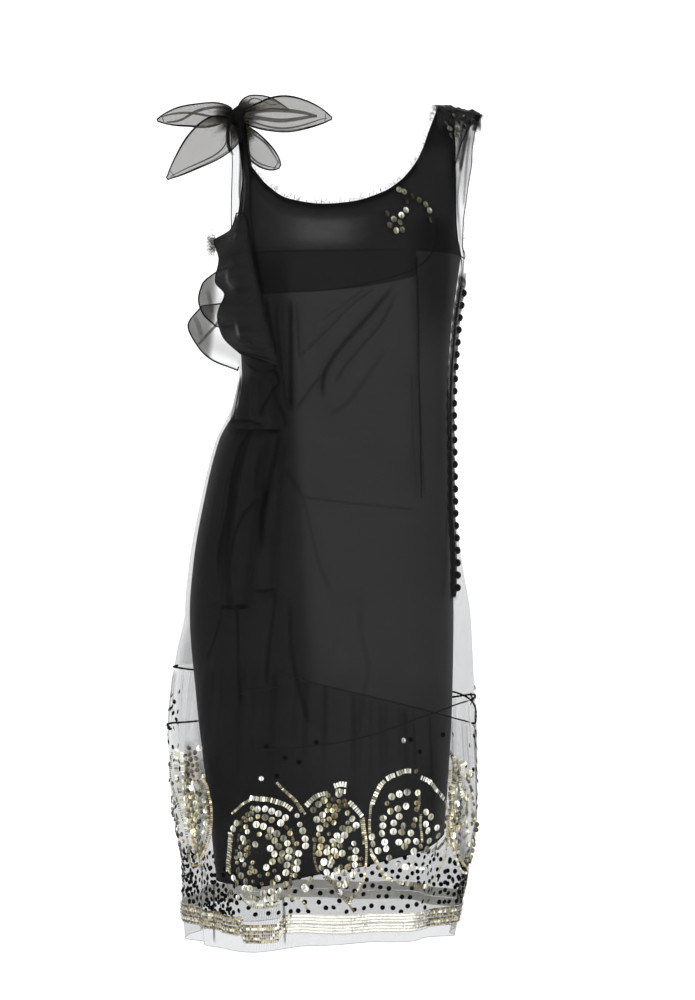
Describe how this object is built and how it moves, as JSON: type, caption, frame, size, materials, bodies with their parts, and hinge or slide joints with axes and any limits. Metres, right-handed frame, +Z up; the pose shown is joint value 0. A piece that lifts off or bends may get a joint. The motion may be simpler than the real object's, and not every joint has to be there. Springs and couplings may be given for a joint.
{
  "type": "dress",
  "caption": "Sleeveless knee-length dress: opaque slip under a sheer net overdress, petal bow on one shoulder, ruffle and draped knot at the side.",
  "frame": {"origin": "middle of the shoulder line, where the wearer's shoulders hold the dress up", "axes": "+Z up, -Y the dress's front, +X the wearer's left"},
  "size_m": [0.3886, 0.3048, 1.0032],
  "materials": {
    "slip_silk": "satin",
    "yoke_chiffon": "sheer matt",
    "net": "sheer matt",
    "organza": "sheer, soft sheen",
    "button_silk": "satin",
    "sequin_tape": "metallic sequins"
  },
  "bodies": {
    "root": {"slip_front_body": "slip_silk", "slip_front_band": "slip_silk", "slip_back_body": "slip_silk", "slip_front_yoke": "yoke_chiffon", "slip_back_yoke": "yoke_chiffon", "net_front_upper": "net", "net_back_upper": "net", "net_front_lower": "net", "net_back_lower": "net", "cascade_frill": "net", "drape_knot": "net", "drape_tail_1": "net", "drape_tail_2": "net", "drape_tail_3": "net", "bow_petal_1": "organza", "bow_petal_2": "organza", "bow_petal_3": "organza", "bow_petal_4": "organza", "bow_petal_5": "organza", "bow_knot": "organza", "flounce_upper": "organza", "flounce_lower": "organza", "button_stand": "button_silk", "button_01": "button_silk", "button_02": "button_silk", "button_03": "button_silk", "button_04": "button_silk", "button_05": "button_silk", "button_06": "button_silk", "button_07": "button_silk", "button_08": "button_silk", "button_09": "button_silk", "button_10": "button_silk", "button_11": "button_silk", "button_12": "button_silk", "button_13": "button_silk", "button_14": "button_silk", "button_15": "button_silk", "button_16": "button_silk", "button_17": "button_silk", "button_18": "button_silk", "button_19": "button_silk", "button_20": "button_silk", "button_21": "button_silk", "button_22": "button_silk", "button_23": "button_silk", "button_24": "button_silk", "button_25": "button_silk", "hem_tape_lower": "sequin_tape", "hem_tape_upper": "sequin_tape"}
  },
  "joints": []
}
